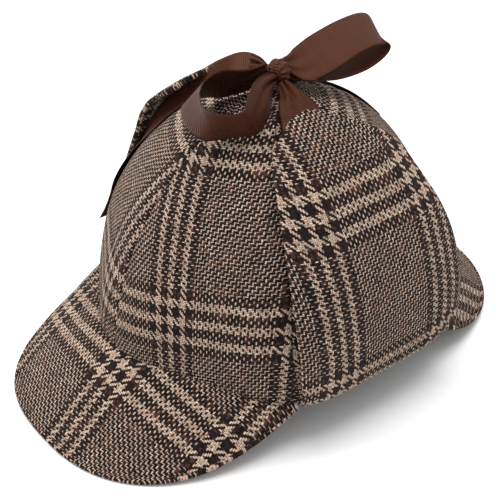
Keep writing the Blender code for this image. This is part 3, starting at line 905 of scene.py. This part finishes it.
def yarn_colour(wiring, twill, light, broad, shown):
    """The colour of the yarn on top, which changes its shade along each thread."""
    along_yarn = twill.on_top(twill.along, twill.across)
    stretch = wiring.maths("FLOOR", wiring.maths("MULTIPLY", along_yarn, SHADE_CHANGES))
    yarn = twill.on_top(twill.warp, wiring.maths("ADD", twill.weft, WEFT_SHADE_START))
    chance = wiring.random(yarn, stretch)
    dark = wiring.blend(chance, *DARK_YARN)
    rust = wiring.maths("GREATER_THAN", chance, RUST_CHANCE)
    dark = wiring.blend(wiring.maths("MULTIPLY", rust, FLECK_STRENGTH), dark, RUST_YARN)
    pale = wiring.blend(chance, *PALE_YARN)
    pale = wiring.blend(wiring.maths("GREATER_THAN", chance, PINK_CHANCE), pale, PINK_YARN)
    # Painted shade: where a pale yarn doesn't show, its gap takes the dark yarn beneath, darkened
    # as if in shadow between the yarns.
    gap = wiring.blend(broad, *YARN_GAP_PAINTED_SHADE)
    pale = wiring.blend(shown, gap, pale)
    return wiring.blend(light, dark, pale)


def tweed():
    """Glen check tweed: dark and light yarns in a two over two twill."""
    wiring = Wiring("glen_check_tweed")
    twill = Twill(wiring)
    spot = wiring.random(wiring.maths("ADD", twill.warp, SPOT_START), twill.weft)
    fuzz = wiring.cloud(FUZZ_SCALE, FUZZ_DETAIL)
    light, broad = yarn_kind(wiring, twill, spot)
    shown, relief = yarn_shape(wiring, twill, broad, fuzz)
    colour = yarn_colour(wiring, twill, light, broad, shown)
    grey = wiring.maths("MULTIPLY_ADD", fuzz, FUZZ_SHADE, DARKEST_SHADE)
    grey = wiring.maths("MULTIPLY_ADD", spot, SPOT_SHADE, grey)
    wiring.join(wiring.blend(1.0, colour, grey, "MULTIPLY"), wiring.shader.inputs["Base Color"])
    wiring.bump(relief, YARN_RELIEF)
    set_finish(wiring.shader, TWEED_FINISH)
    return wiring.material


def grosgrain():
    """Brown grosgrain: fine ribs across the ribbon with painted shade between them, and a darker
    woven edge.
    """
    wiring = Wiring("brown_grosgrain")
    across, far = wiring.cloth_place()
    rib = wiring.maths("SINE", wiring.maths("MULTIPLY", far, 2 * math.pi / RIB_PITCH))
    raised = wiring.maths("MULTIPLY_ADD", rib, 0.5, 0.5)
    from_edge = wiring.maths("SUBTRACT", RIBBON_WIDTH / 2, wiring.maths("ABSOLUTE", across))
    at_edge = wiring.maths("LESS_THAN", from_edge, WOVEN_EDGE_WIDTH)
    rib_count = wiring.maths("FLOOR", wiring.maths("DIVIDE", far, RIB_PITCH))
    rib_chance = wiring.random(rib_count, RIB_START)
    clouds = wiring.maths("MULTIPLY", wiring.cloud(RIBBON_CLOUDS), CLOUD_SHADE)
    shade = wiring.maths("MULTIPLY_ADD", rib_chance, RIB_SHADE, clouds)
    colour = wiring.blend(shade, *RIBBON_BROWNS)
    # Painted shade in the valleys between the ribs: the brown darkens where each rib is low.
    painted_valley_shade = wiring.maths("MULTIPLY", wiring.maths("SUBTRACT", 1.0, raised), VALLEY_PAINTED_SHADE_STRENGTH)
    colour = wiring.blend(painted_valley_shade, colour, RIB_VALLEY_PAINTED_SHADE)
    colour = wiring.blend(wiring.maths("MULTIPLY", at_edge, EDGE_STRENGTH), colour, WOVEN_EDGE)
    wiring.join(colour, wiring.shader.inputs["Base Color"])
    wiring.bump(raised, RIB_RELIEF)
    set_finish(wiring.shader, RIBBON_FINISH)
    return wiring.material


def pale_floor():
    """A plain pale floor, which isn't part of the hat."""
    material = bpy.data.materials.new("pale_floor")
    material.use_nodes = True
    set_finish(material.node_tree.nodes["Principled BSDF"], FLOOR_FINISH)
    bpy.ops.object.select_all(action="DESELECT")
    bpy.ops.mesh.primitive_plane_add(size=FLOOR_SIZE)
    floor = bpy.context.object
    floor.name = "floor"
    floor.data.materials.append(material)


def camera():
    """The camera, which looks down on the hat from its front and left."""
    turn = math.radians(CAMERA_TURN)
    height = math.radians(CAMERA_HEIGHT_ANGLE)
    level = math.cos(height)
    back = Vector((math.sin(turn) * level, -math.cos(turn) * level, math.sin(height)))
    data = bpy.data.cameras.new("camera")
    data.lens = CAMERA_LENS
    data.sensor_width = SENSOR_WIDTH
    data.clip_start = NEAREST_SEEN
    eye = bpy.data.objects.new("camera", data)
    eye.location = Vector(CAMERA_AIM) + back * CAMERA_DISTANCE
    eye.rotation_euler = back.to_track_quat("Z", "Y").to_euler()
    bpy.context.scene.collection.objects.link(eye)
    bpy.context.scene.camera = eye


def softbox(name, place, size, power):
    """A square lamp that faces the hat."""
    data = bpy.data.lights.new(name, "AREA")
    data.size = size
    data.energy = power
    lamp = bpy.data.objects.new(name, data)
    lamp.location = place
    aim = Vector(LAMP_AIM) - Vector(place)
    lamp.rotation_euler = aim.to_track_quat("-Z", "Y").to_euler()
    bpy.context.scene.collection.objects.link(lamp)


def studio():
    """Floor, camera and soft light."""
    pale_floor()
    camera()
    for lamp in LAMPS:
        softbox(*lamp)
    world = bpy.data.worlds.new("studio")
    world.use_nodes = True
    backdrop = world.node_tree.nodes["Background"]
    backdrop.inputs[0].default_value = (1, 1, 1, 1)
    backdrop.inputs[1].default_value = SKY_BRIGHTNESS
    bpy.context.scene.world = world
    bpy.context.scene.view_settings.view_transform = "Standard"


def build_hat():
    """Every piece of the hat."""
    tweed_cloth = tweed()
    ribbon_cloth = grosgrain()
    for index in range(GORE_COUNT):
        crown_gore(index, tweed_cloth)
    for node, facing, reach, fullness in BRIMS:
        brim(node, facing, reach, fullness, tweed_cloth)
    for node, side in FLAPS:
        ear_flap(node, side, tweed_cloth)
    for node in TIES:
        crown_ribbon(node, ribbon_cloth)
    for node in TAILS:
        tail_ribbon(node, ribbon_cloth)
    for node, rows, length, directions in LOOPS:
        loop_ribbon(node, rows, length, directions, ribbon_cloth)
    bow_knot(ribbon_cloth)


studio()
build_hat()
